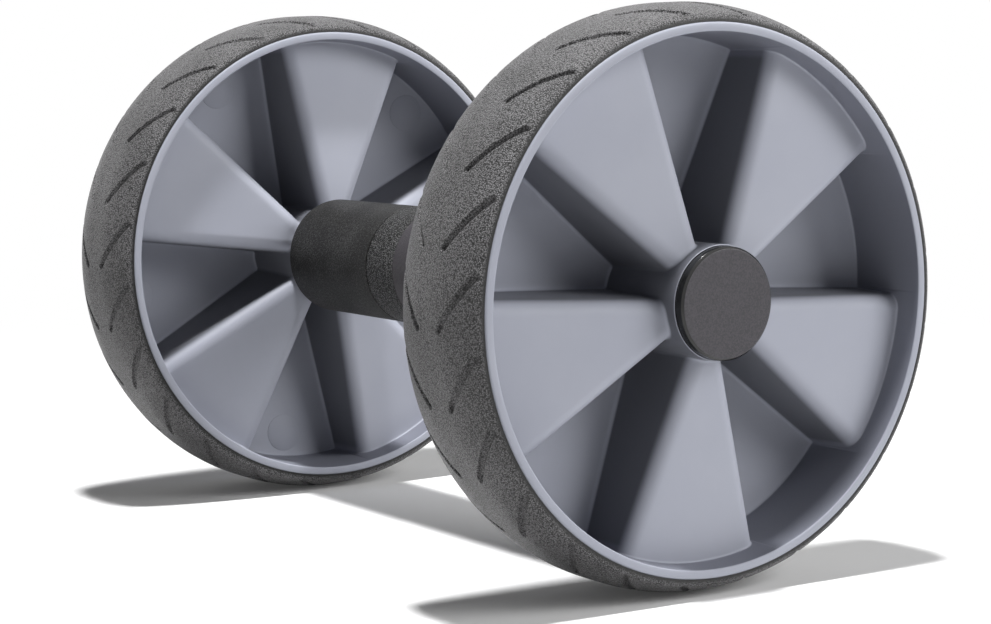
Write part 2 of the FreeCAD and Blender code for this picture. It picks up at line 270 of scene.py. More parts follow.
@dataclass(frozen=True)
class Finish:
    """Finish of one material slot of the record."""

    slot: str

    def material(self) -> bpy.types.Material:
        """Make the finish's material.

        Returns:
            The material.
        """
        made = bpy.data.materials.new(self.slot)
        made.use_nodes = True
        bench = NodeBench(made.node_tree)
        sockets = self.paint(bench, bench.place())
        shader = bench.add("ShaderNodeBsdfPrincipled", None, sockets)
        bench.end("ShaderNodeOutputMaterial", shader)
        return made

    def paint(self, bench: NodeBench, where: Wire) -> dict[str, SocketValue]:
        """Add the finish's nodes.

        Args:
            bench: Bench of the material.
            where: Position wire.

        Returns:
            Values and wires of the shader's inputs.
        """
        raise NotImplementedError


@dataclass(frozen=True)
class MouldedPlastic(Finish):
    """Injection-moulded plastic with a fine spark-eroded grain."""

    colour: Colour
    streak: Colour
    roughness: float = 0.4
    grain: float = 0.45
    relief: float = 0.02
    specular: float = 0.2
    flow: float = 34.0
    patch: float = 9.0

    def paint(self, bench: NodeBench, where: Wire) -> dict[str, SocketValue]:
        """Add faint flow clouds in the colour, uneven gloss and a fine grain.

        Args:
            bench: Bench of the material.
            where: Position wire.

        Returns:
            Values and wires of the shader's inputs.
        """
        clouds = bench.noise(where, self.flow, 3.0)
        grain = bench.noise(where, self.grain, 2.0, 0.6)
        patches = bench.noise(where, self.patch, 2.0)
        colour = bench.mix(clouds.rise(0.35, 0.7), self.colour, self.streak)
        gloss = self.roughness + (patches - 0.5) * 0.08 + (grain - 0.5) * 0.1
        return {"Base Color": colour, "Roughness": gloss, "Normal": bench.bump(grain, self.relief, 0.6),
                "Specular IOR Level": self.specular}


@dataclass(frozen=True)
class WheelPlastic(MouldedPlastic):
    """Moulded plastic with painted shade: its side walls, which run along the mould's draw, are coloured
    darker than its faces, and a little less dark on the rim's wall.
    """

    # Painted shade: the side walls' darker colour, and a less dark one on the rim's wall.
    wall: Colour = grey(0.15)
    rim_wall_painted_shade: Colour = grey(0.22)
    rim_reach: float = 79.0
    rim_fade: float = 2.0
    wall_tilt: float = 0.1
    face_tilt: float = 0.75

    def paint(self, bench: NodeBench, where: Wire) -> dict[str, SocketValue]:
        """Paint shade on the side walls, whose normals stand across the axle, with a less dark painted shade
        near the rim.

        Args:
            bench: Bench of the material.
            where: Position wire.

        Returns:
            Values and wires of the shader's inputs.
        """
        sockets = super().paint(bench, where)
        normal = bench.add("ShaderNodeTexCoord", output="Normal")
        facing = abs(bench.add("ShaderNodeSeparateXYZ", None, {0: normal}, "Y"))
        face = facing.rise(self.wall_tilt, self.face_tilt)
        rim = bench.axle_distance(where).rise((self.rim_reach - self.rim_fade) * MM, self.rim_reach * MM)
        # Painted shade: walls whose normals stand across the axle take the darker wall colours in place of
        # the face colour.
        wall = bench.mix(rim, self.wall, self.rim_wall_painted_shade)
        sockets["Base Color"] = bench.mix(face, wall, sockets["Base Color"])
        return sockets


@dataclass(frozen=True)
class FacedPlastic(MouldedPlastic):
    """Glossy plastic with a matt, speckled face at the roller's ends."""

    face: Colour = grey(0.045)
    speckle: Colour = grey(0.06)
    face_reach: float = 140.3
    edge_start: float = 0.12
    edge_end: float = 0.04
    speck: float = 0.5
    matt: float = 0.2

    def paint(self, bench: NodeBench, where: Wire) -> dict[str, SocketValue]:
        """Lay the matt face over the glossy plastic.

        Args:
            bench: Bench of the material.
            where: Position wire.

        Returns:
            Values and wires of the shader's inputs.
        """
        sockets = super().paint(bench, where)
        reach = bench.axle_offset(where)
        flat = reach.rise((self.face_reach - self.edge_start) * MM, (self.face_reach - self.edge_end) * MM)
        specks = bench.noise(where, self.speck, 2.0, 0.7).rise(0.35, 0.65)
        face = bench.mix(specks, self.face, self.speckle)
        sockets["Base Color"] = bench.mix(flat, sockets["Base Color"], face)
        sockets["Roughness"] = sockets["Roughness"] + flat * self.matt
        return sockets


@dataclass(frozen=True)
class TreadRubber(Finish):
    """Tyre rubber with a sandy skin on the tread and a smooth band next to the rim."""

    colour: Colour
    dust: Colour
    skin_start: float = 84.0
    skin_end: float = 85.6
    grain: float = 0.45
    cloud: float = 18.0
    relief: float = 0.36
    roughness: float = 0.48
    specular: float = 0.3
    sheen: float = 0.1
    sheen_roughness: float = 0.4

    def paint(self, bench: NodeBench, where: Wire) -> dict[str, SocketValue]:
        """Add the sandy grain outside the smooth band.

        Args:
            bench: Bench of the material.
            where: Position wire.

        Returns:
            Values and wires of the shader's inputs.
        """
        skin = bench.axle_distance(where).rise(self.skin_start * MM, self.skin_end * MM)
        sand = 1.0 - bench.cells(where, self.grain)
        fine = bench.noise(where, self.grain * 0.8, 2.0, 0.6)
        height = (sand * 0.6 + fine * 0.4) * skin
        clouds = bench.noise(where, self.cloud, 3.0)
        tone = (sand - 0.55 + (fine - 0.5) * 0.8 + (clouds - 0.5) * 0.3).rise(-0.35, 0.45) * skin
        colour = bench.mix(tone, self.colour, self.dust)
        gloss = self.roughness - skin * 0.05 + (clouds - 0.5) * 0.1
        return {"Base Color": colour, "Roughness": gloss, "Normal": bench.bump(height, self.relief),
                "Specular IOR Level": self.specular, "Sheen Weight": self.sheen,
                "Sheen Roughness": self.sheen_roughness}


@dataclass(frozen=True)
class GripRubber(Finish):
    """Soft grip rubber: fine skin on the ends, coarse grain on two bands and a plain waist."""

    colour: Colour
    band_colour: Colour
    waist_colour: Colour
    worn: Colour
    grit: Colour
    band_end: float = 37.2
    band_start: float = 19.2
    fine: float = 0.55
    coarse: float = 0.5
    cloud: float = 14.0
    end_fade: float = 0.15
    start_fade: float = 0.3
    wear: float = 0.75
    roughness: float = 0.6
    specular: float = 0.25
    fine_relief: float = 0.22
    coarse_relief: float = 0.5

    def paint(self, bench: NodeBench, where: Wire) -> dict[str, SocketValue]:
        """Add the three skins by their distance from the grip's middle.

        Args:
            bench: Bench of the material.
            where: Position wire.

        Returns:
            Values and wires of the shader's inputs.
        """
        reach = bench.axle_offset(where)
        inside = 1.0 - reach.rise((self.band_end - self.end_fade) * MM, (self.band_end + self.end_fade) * MM)
        past = reach.rise((self.band_start - self.start_fade) * MM, (self.band_start + self.start_fade) * MM)
        band = inside * past
        waist = inside - band
        fine = bench.noise(where, self.fine, 3.0, 0.6)
        coarse = 1.0 - bench.cells(where, self.coarse)
        clouds = bench.noise(where, self.cloud, 2.0)
        colour = bench.mix(band, self.colour, self.band_colour)
        colour = bench.mix(waist, colour, self.waist_colour)
        rubbed = (clouds * 0.2 + fine * 0.8).rise(0.45, 0.66) * (1.0 - band) * self.wear
        colour = bench.mix(rubbed, colour, self.worn)
        colour = bench.mix(coarse.rise(0.5, 0.8) * band, colour, self.grit)
        gloss = self.roughness - band * 0.1 - waist * 0.04 + (clouds - 0.5) * 0.1
        soft = bench.bump(fine, self.fine_relief, 0.9)
        rough = bench.bump(coarse * band, self.coarse_relief, 1.0, soft)
        return {"Base Color": colour, "Roughness": gloss, "Normal": rough,
                "Specular IOR Level": self.specular}


@dataclass(frozen=True)
class DrawnSteel(Finish):
    """Steel with fine lines round the axle."""

    colour: Colour
    roughness: float = 0.32
    stretch: float = 0.08
    line: float = 0.3
    cloud: float = 8.0
    relief: float = 0.01

    def paint(self, bench: NodeBench, where: Wire) -> dict[str, SocketValue]:
        """Add fine turning lines and a cloudy gloss.

        Args:
            bench: Bench of the material.
            where: Position wire.

        Returns:
            Values and wires of the shader's inputs.
        """
        scale = (self.stretch, 1.0, self.stretch)
        stretched = bench.add("ShaderNodeMapping", None, {"Vector": where, "Scale": scale})
        lines = bench.noise(stretched, self.line, 2.0, 0.6)
        clouds = bench.noise(where, self.cloud, 2.0)
        colour = bench.mix(clouds.rise(0.3, 0.7), self.colour, grey(self.colour[1] * 0.8))
        gloss = self.roughness + (lines - 0.5) * 0.15
        normal = bench.bump(lines, self.relief, 0.5)
        return {"Base Color": colour, "Roughness": gloss, "Metallic": 1.0, "Normal": normal}


# The wall and rim-wall colours of the wheel's plastic are painted shade on its side walls.
WHEEL_PLASTIC = WheelPlastic("wheel_plastic", (0.390, 0.405, 0.472, 1.0), (0.410, 0.425, 0.490, 1.0), 0.47,
                             wall=(0.145, 0.150, 0.172, 1.0), rim_wall_painted_shade=(0.212, 0.220, 0.262, 1.0))
TYRE_RUBBER = TreadRubber("tyre_rubber", grey(0.012, 0.01), (0.255, 0.250, 0.259, 1.0))
GRIP_RUBBER = GripRubber("grip_rubber", grey(0.012, 0.02), grey(0.005, 0.02), (0.054, 0.049, 0.057, 1.0),
                         worn=grey(0.08), grit=grey(0.24))
CAP_PLASTIC = FacedPlastic("cap_plastic", grey(0.012), grey(0.014), roughness=0.2, grain=0.3, relief=0.01,
                           specular=0.4, face=(0.032, 0.030, 0.0355, 1.0),
                           speckle=(0.056, 0.0515, 0.060, 1.0))
PLUG_PLASTIC = MouldedPlastic("plug_plastic", grey(0.03), grey(0.035), 0.45)
BUSH_PLASTIC = MouldedPlastic("bush_plastic", (0.75, 0.74, 0.70, 1.0), (0.70, 0.69, 0.65, 1.0), 0.35)
AXLE_STEEL = DrawnSteel("axle_steel", grey(0.56, -0.02))
ZINC_STEEL = DrawnSteel("zinc_steel", (0.62, 0.63, 0.66, 1.0), 0.26)
FINISHES: tuple[Finish, ...] = (WHEEL_PLASTIC, TYRE_RUBBER, GRIP_RUBBER, CAP_PLASTIC, PLUG_PLASTIC,
                                BUSH_PLASTIC, AXLE_STEEL, ZINC_STEEL)


class PaintShop:
    """Materials of all finishes, and the way a mesh becomes a piece of the roller."""

    def __init__(self, finishes: Iterable[Finish]) -> None:
        """Make one material per finish."""
        self.materials = {finish.slot: finish.material() for finish in finishes}

    def publish(self, mesh: bmesh.types.BMesh, name: str, body: str, node: str, finish: Finish,
                crease: float = 40.0) -> None:
        """Turn a mesh into a piece that replaces a CAD node and rides on its body.

        Args:
            mesh: Finished mesh, which is freed.
            name: Name of the piece.
            body: CAD body that it rides on.
            node: CAD node that it stands for.
            finish: Its finish.
            crease: Angle in degrees from which an edge is drawn sharp.
        """
        bmesh.ops.remove_doubles(mesh, verts=mesh.verts, dist=WELD)
        bmesh.ops.recalc_face_normals(mesh, faces=mesh.faces)
        for face in mesh.faces:
            face.smooth = True
        for edge in mesh.edges:
            edge.smooth = edge.calc_face_angle(0.0) < math.radians(crease)
        data = bpy.data.meshes.new(name)
        mesh.to_mesh(data)
        mesh.free()
        data.materials.append(self.materials[finish.slot])
        piece = bpy.data.objects.new(name, data)
        bpy.context.scene.collection.objects.link(piece)
        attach(piece, body)
        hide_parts(node)
        LOG.info("%s: %d faces, rides on %s", name, len(data.polygons), body)

    def coat(self, node: bpy.types.Object, slot: str) -> None:
        """Give a CAD node that stays the material of its slot.

        Args:
            node: The CAD node's object.
            slot: The record's material slot.
        """
        if not node.material_slots:
            node.data.materials.append(self.materials[slot])
        for place in node.material_slots:
            place.material = self.materials[slot]
        LOG.info("%s: CAD solid in %s", node.name, slot)


class RingSkin:
    """Closed skin round the axle that grows ring by ring."""

    def __init__(self, count: int) -> None:
        """Start from a circle of so many vertices.

        Args:
            count: Number of vertices in every ring.
        """
        self.mesh = bmesh.new()
        self.ring = list(bmesh.ops.create_circle(self.mesh, segments=count, radius=1.0)["verts"])
        self.edges = list(self.mesh.edges)
        self.first: list[Vector] = []

    def grow(self, points: Sequence[Vector]) -> None:
        """Extrude the last ring to new places.

        Args:
            points: One place per vertex, in order round the axle.
        """
        if self.first:
            made = bmesh.ops.extrude_edge_only(self.mesh, edges=self.edges)["geom"]
            fresh = {item for item in made if isinstance(item, bmesh.types.BMVert)}
            self.edges = [item for item in made
                          if isinstance(item, bmesh.types.BMEdge) and fresh.issuperset(item.verts)]
            self.ring = [self.partner(vertex, fresh) for vertex in self.ring]
        else:
            self.first = list(points)
        for vertex, point in zip(self.ring, points):
            vertex.co = point

    @staticmethod
    def partner(vertex: bmesh.types.BMVert, fresh: set[bmesh.types.BMVert]) -> bmesh.types.BMVert:
        """Vertex that a ring's vertex was extruded to."""
        return next(edge.other_vert(vertex) for edge in vertex.link_edges if edge.other_vert(vertex) in fresh)

    def close(self) -> bmesh.types.BMesh:
        """Join the last ring to the first and return the mesh.

        Returns:
            The closed mesh.
        """
        self.grow(self.first)
        bmesh.ops.remove_doubles(self.mesh, verts=self.mesh.verts, dist=WELD)
        return self.mesh


def arc(radius: float, height: float, size: float, start: float, stop: float, steps: int) -> list[Point]:
    """Points of an arc in an outline.

    Args:
        radius: Distance of its centre from the axle.
        height: Height of its centre.
        size: Radius of the arc.
        start: Angle in degrees at which it starts, from outwards towards up.
        stop: Angle at which it ends.
        steps: Number of steps.

    Returns:
        (distance from the axle, height) pairs, both ends among them.
    """
    angles = [math.radians(start + (stop - start) * step / steps) for step in range(steps + 1)]
    return [(radius + size * math.cos(angle), height + size * math.sin(angle)) for angle in angles]


def smooth(value: float) -> float:
    """Smooth step from 0 to 1."""
    share = min(max(value, 0.0), 1.0)
    return share * share * (3.0 - 2.0 * share)


def key_outline() -> list[Point]:
    """Outline of the key between a tyre and its rim, from its outer side to its inner side."""
    floor = RIM_RADIUS - KEY_DEPTH
    return [(RIM_RADIUS, KEY_HALF), (floor, KEY_HALF), (floor, -KEY_HALF), (RIM_RADIUS, -KEY_HALF)]


def spun_mesh(outline: Sequence[Point], place: Callable[[float, float, float], Vector],
              steps: int) -> bmesh.types.BMesh:
    """Spin an outline once round the axle.

    Args:
        outline: (distance from the axle, height) pairs, closed unless both ends lie on the axle.
        place: World position of a (radius, angle, height) point.
        steps: Number of steps round.

    Returns:
        The mesh, with its seam and poles merged.
    """
    mesh = bmesh.new()
    line = [mesh.verts.new(place(radius, 0.0, height)) for radius, height in outline]
    closed = outline[0][0] > 0.0
    pairs = zip(line, line[1:] + line[:1]) if closed else zip(line, line[1:])
    edges = [mesh.edges.new(pair) for pair in pairs]
    centre = place(0.0, 0.0, 0.0)
    axis = (place(0.0, 0.0, 1.0) - centre).normalized()
    bmesh.ops.spin(mesh, geom=line + edges, cent=centre, axis=axis, dvec=(0.0, 0.0, 0.0), angle=2.0 * math.pi,
                   steps=steps, use_merge=True)
    bmesh.ops.remove_doubles(mesh, verts=mesh.verts, dist=WELD)
    bmesh.ops.recalc_face_normals(mesh, faces=mesh.faces)
    return mesh


@dataclass
class WheelMoulding:
    """One-piece wheel: rim, hub and a corrugated web.

    The pockets of one face are the backs of the other face's spokes.
    """

    side: Side
    first_pocket: float
    half_width: float = 21.0
    rim_inner: float = 80.3
    lip_inner: float = 80.9
    lip_round: float = 0.45
    tyre_edge_round: float = 0.8
    hub_radius: float = 19.15
    hub_wall: float = 17.6
    hub_edge: float = 0.25
    hub_lip: float = 0.8
    cap_seat: float = 17.3
    hub_inner_end: float = -20.4
    recess_radius: float = 13.45
    recess_floor: float = 7.95
    bead_depth: float = 0.5
    bead_low: float = 17.6
    bead_high: float = 19.2
    bore: float = 9.07
    seat_radius: float = 12.07
    seat_height: float = -19.0
    spoke_hub_depth: float = 3.7
    spoke_rim_depth: float = 9.1
    web_wall: float = 4.5
    side_wall: float = 2.8
    draft: float = math.radians(2.0)
    edge_round: float = 5.0
    floor_fillet: float = 1.2
    rim_blend: float = 0.75
    hub_blend: float = 1.2
    hub_wall_blend: float = 1.0
    sectors: int = 5
    web_rings: int = 16
    mark_radius: float = 7.0
    mark_reach: float = 71.3
    mark_relief: float = 0.1
    mark_bevel: float = 0.08
    mark_steps: int = 56
    mark_corner: float = 1.0
    seat_ease: float = 0.03
    flat_steps: int = 9
    round_steps: int = 9
    wall_steps: int = 4
    fillet_steps: int = 4
    hub_steps: int = 8
    rim_steps: int = 5
    edge_steps: int = 5
    tyre_edge_steps: int = 3
    settle_rounds: int = 4
    hub_shares: tuple[float, ...] = (1.0, 0.6, 0.25)
    rim_shares: tuple[float, ...] = (0.06, 0.2, 0.4, 0.6, 0.8, 0.94)
    crease: float = 50.0

    @property
    def half_sector(self) -> float:
        """Angle between a pocket's middle and the border with its spoke."""
        return math.pi / self.sectors / 2.0

    def spoke_face(self, reach: float) -> float:
        """Height of a spoke's flat face at a distance along the spoke's middle."""
        share = (reach - self.hub_radius) / (self.rim_inner - self.hub_radius)
        return self.half_width - self.spoke_hub_depth - share * (self.spoke_rim_depth - self.spoke_hub_depth)

    def spoke_top(self, radius: float, aside: float) -> float:
        """Height of the spoke's face at a distance from the axle and from the border."""
        reach = radius * math.cos(self.half_sector + math.asin(aside / radius))
        return self.spoke_face(reach)

    def pocket_floor(self, radius: float, aside: float) -> float:
        """Height of the pocket's floor at a distance from the axle and from the border."""
        reach = radius * math.cos(self.half_sector - math.asin(aside / radius))
        return self.web_wall - self.spoke_face(reach)

    def wall(self, height: float) -> float:
        """Distance of the pocket's side from the border at a height."""
        return self.side_wall / 2.0 - height * math.tan(self.draft)

    def half_section(self, radius: float) -> list[Row]:
        """Section of the web's outer skin at one distance from the axle.

        Args:
            radius: That distance.

        Returns:
            From the pocket's middle to the spoke's middle: distance from the border towards the pocket,
            height, and the skin's direction outwards in the same two axes.
        """
        middle = radius * math.sin(self.half_sector)
        corner = self.edge_round
        aside = self.wall(0.0) - corner
        for _ in range(self.settle_rounds):
            top = self.spoke_top(radius, aside) - corner
            aside = self.wall(top) - corner / math.cos(self.draft)
        small = self.floor_fillet
        foot = self.wall(0.0) + small
        for _ in range(self.settle_rounds):
            base = self.pocket_floor(radius, foot) + small
            foot = self.wall(base) + small / math.cos(self.draft)
        section = []
        for step in range(self.flat_steps):
            across = middle + (foot - middle) * step / self.flat_steps
            section.append((across, self.pocket_floor(radius, across), 0.0, 1.0))
        for step in range(self.fillet_steps + 1):
            angle = 1.5 * math.pi + (self.draft - math.pi / 2.0) * step / self.fillet_steps
            section.append((foot + small * math.cos(angle), base + small * math.sin(angle),
                            -math.cos(angle), -math.sin(angle)))
        low = section[-1]
        high = (aside + corner * math.cos(self.draft), top + corner * math.sin(self.draft))
        for step in range(1, self.wall_steps):
            share = step / self.wall_steps
            section.append((low[0] + (high[0] - low[0]) * share, low[1] + (high[1] - low[1]) * share,
                            math.cos(self.draft), math.sin(self.draft)))
        for step in range(self.round_steps + 1):
            angle = self.draft + (math.pi / 2.0 - self.draft) * step / self.round_steps
            section.append((aside + corner * math.cos(angle), top + corner * math.sin(angle),
                            math.cos(angle), math.sin(angle)))
        for step in range(1, self.flat_steps + 1):
            across = aside + (-middle - aside) * step / self.flat_steps
            section.append((across, self.spoke_top(radius, across), 0.0, 1.0))
        return section

    def skin_ring(self, radii: Sequence[float], swell: Sequence[float], outer: bool) -> list[Place]:
        """Ring of the web's skin.

        Args:
            radii: Distance from the axle of each place in the half section.
            swell: Distance of each place outwards from the plain skin.
            outer: Whether the ring is on the wheel's outer face.

        Returns:
            (radius, angle, height) of each vertex round the wheel.
        """
        half = []
        for index, (radius, out) in enumerate(zip(radii, swell)):
            across, height, lean, up = self.half_section(radius)[index]
            aside = max(min((across + out * lean) / radius, 1.0), -1.0)
            half.append((radius, self.half_sector - math.asin(aside), height + out * up))
        sector = 4.0 * self.half_sector
        whole = half + [(radius, sector - angle, height) for radius, angle, height in half[-2:0:-1]]
        shift = 0 if outer else len(half) - 1
        facing = 1.0 if outer else -1.0
        ring = []
        for index in range(self.sectors * len(whole)):
            turn, place = divmod(index + shift, len(whole))
            radius, angle, height = whole[place]
            back = 0.0 if outer else sector / 2.0
            ring.append((radius, angle + sector * turn - back, facing * height))
        return ring

    def blend_sizes(self) -> list[float]:
        """Size of the hub's concave blend at each place of the half section.

        Returns:
            The sizes, least on the floor and walls.
        """
        floor_end = self.flat_steps + self.fillet_steps
        section = self.half_section(self.hub_wall + self.hub_blend)
        shares = [up if index > floor_end else 0.0 for index, (_, _, _, up) in enumerate(section)]
        return [self.hub_wall_blend + (self.hub_blend - self.hub_wall_blend) * share for share in shares]

    def web_side(self, outer: bool) -> list[list[Place]]:
        """Rings of one face of the web, from the hub to the rim.

        Args:
            outer: Whether it is the wheel's outer face.

        Returns:
            Rings of (radius, angle, height).
        """
        blend = self.blend_sizes()
        count = len(blend)
        rings = []
        for step in range(self.hub_steps, -1, -1):
            turn = math.pi / 2.0 * step / self.hub_steps
            radii = [self.hub_wall + size * (1.0 - math.sin(turn)) for size in blend]
            rings.append(self.skin_ring(radii, [size * (1.0 - math.cos(turn)) for size in blend], outer))
        end = self.rim_inner - self.rim_blend
        for step in range(1, self.web_rings):
            share = step / self.web_rings
            radii = [self.hub_wall + size + (end - self.hub_wall - size) * share for size in blend]
            rings.append(self.skin_ring(radii, [0.0] * count, outer))
        for step in range(self.rim_steps + 1):
            turn = math.pi / 2.0 * step / self.rim_steps
            radii = [self.rim_inner - self.rim_blend * (1.0 - math.sin(turn))] * count
            rings.append(self.skin_ring(radii, [self.rim_blend * (1.0 - math.cos(turn))] * count, outer))
        return rings

    @staticmethod
    def climb(ring: Sequence[Place], radius: float, height: float,
              shares: Sequence[float]) -> list[list[Place]]:
        """Rings on a drafted wall from a wavy ring to a level one.

        Args:
            ring: The wavy ring.
            radius: Radius of the level ring.
            height: Height of the level ring.
            shares: How far each new ring is up the wall.

        Returns:
            The new rings.
        """
        rings = []
        for share in shares:
            rings.append([(start + (radius - start) * share, angle, low + (height - low) * share)
                          for start, angle, low in ring])
        return rings

    def face_rings(self, outer: bool) -> list[list[Place]]:
        """Rings of one face, from the top of the hub's edge to the rim's outer edge.

        Args:
            outer: Whether it is the wheel's outer face.

        Returns:
            Rings of (radius, angle, height).
        """
        facing = 1.0 if outer else -1.0
        hub_top = self.half_width + self.hub_lip if outer else -self.hub_inner_end
        web = self.web_side(outer)
        turn = self.hub_edge
        edge = arc(self.hub_wall - turn, hub_top - turn, turn, 90.0, 0.0, self.edge_steps)
        rings = [self.level(web[0], radius, facing * height) for radius, height in edge[:-1]]
        rings += self.climb(web[0], self.hub_wall, facing * edge[-1][1], self.hub_shares)
        rings += web
        turn = self.lip_round
        lip = arc(self.lip_inner + turn, self.half_width - turn, turn, 180.0, 90.0, self.edge_steps)
        turn = self.tyre_edge_round
        lip += arc(RIM_RADIUS - turn, self.half_width - turn, turn, 90.0, 0.0, self.tyre_edge_steps)
        rings += self.climb(web[-1], self.lip_inner, facing * lip[0][1], self.rim_shares)
        rings += [self.level(web[-1], radius, facing * height) for radius, height in lip]
        return rings

    @staticmethod
    def level(ring: Sequence[Place], radius: float, height: float) -> list[Place]:
        """Level circle with the angles of another ring."""
        return [(radius, angle, height) for _, angle, _ in ring]

    def build(self) -> bmesh.types.BMesh:
        """Model the moulding as one closed skin, with the marks of the ejector pins.

        Returns:
            The mesh.
        """
        front = self.face_rings(True)
        back = self.face_rings(False)
        under = key_outline()
        recess = self.recess_radius
        bead = recess + self.bead_depth
        inside = [(self.seat_radius, self.hub_inner_end), (self.seat_radius, self.seat_height),
                  (self.bore, self.seat_height), (self.bore, self.recess_floor),
                  (recess, self.recess_floor), (recess, self.bead_low - self.bead_depth),
                  (bead, self.bead_low), (bead, self.bead_high),
                  (recess, self.bead_high + self.bead_depth), (recess, self.half_width),
                  (self.cap_seat, self.half_width),
                  (self.cap_seat, self.half_width + self.hub_lip - self.seat_ease)]
        rings = [self.level(front[0], radius, height) for radius, height in inside]
        rings += front
        rings += [self.level(front[-1], radius, height) for radius, height in under[:2]]
        rings += [self.level(back[-1], radius, height) for radius, height in under[2:]]
        rings += list(reversed(back))
        skin = RingSkin(len(front[0]))
        turn = math.radians(self.first_pocket)
        for ring in rings:
            skin.grow([self.side.place(radius, angle + turn, height) for radius, angle, height in ring])
        mesh = skin.close()
        self.add_marks(mesh, turn)
        return mesh

    def add_marks(self, mesh: bmesh.types.BMesh, turn: float) -> None:
        """Add the round ejector marks on the floors of the inner face's pockets.

        Args:
            mesh: The moulding.
            turn: Local angle of the first outer pocket in radians.
        """
        sector = 4.0 * self.half_sector
        for index in range(self.sectors):
            angle = turn + sector * (index + 0.5)
            floor = self.spoke_face(self.mark_reach) - self.web_wall
            centre = self.side.place(self.mark_reach, angle, floor)
            ahead = self.side.place(self.mark_reach + 1.0, angle,
                                    self.spoke_face(self.mark_reach + 1.0) - self.web_wall) - centre
            outwards = ahead.normalized()
            aside = (self.side.place(self.mark_reach, angle + 0.01, floor) - centre).normalized()
            normal = outwards.cross(aside).normalized()
            frame = Matrix((outwards, aside, normal)).transposed().to_4x4()
            frame.translation = centre
            radius = self.mark_radius * MM
            made = bmesh.ops.create_cone(mesh, cap_ends=True, segments=self.mark_steps, radius1=radius,
                                         radius2=radius, depth=2.0 * self.mark_relief * MM)
            rims = [edge for edge in {edge for vertex in made["verts"] for edge in vertex.link_edges}
                    if edge.calc_face_angle(0.0) > self.mark_corner]
            bevelled = bmesh.ops.bevel(mesh, geom=rims, offset=self.mark_bevel * MM, affect="EDGES",
                                       segments=2, profile=0.5, material=-1)
            corners = {corner for face in bevelled["faces"] for corner in face.verts} | set(
                vertex for vertex in made["verts"] if vertex.is_valid)
            bmesh.ops.transform(mesh, matrix=frame, verts=list(corners))

    def dress(self, shop: PaintShop) -> None:
        """Publish the moulding in the wheel's plastic."""
        word = self.side.word
        shop.publish(self.build(), word + "_wheel_moulding", self.side.wheel_body, word + "_wheel_body",
                     WHEEL_PLASTIC, self.crease)


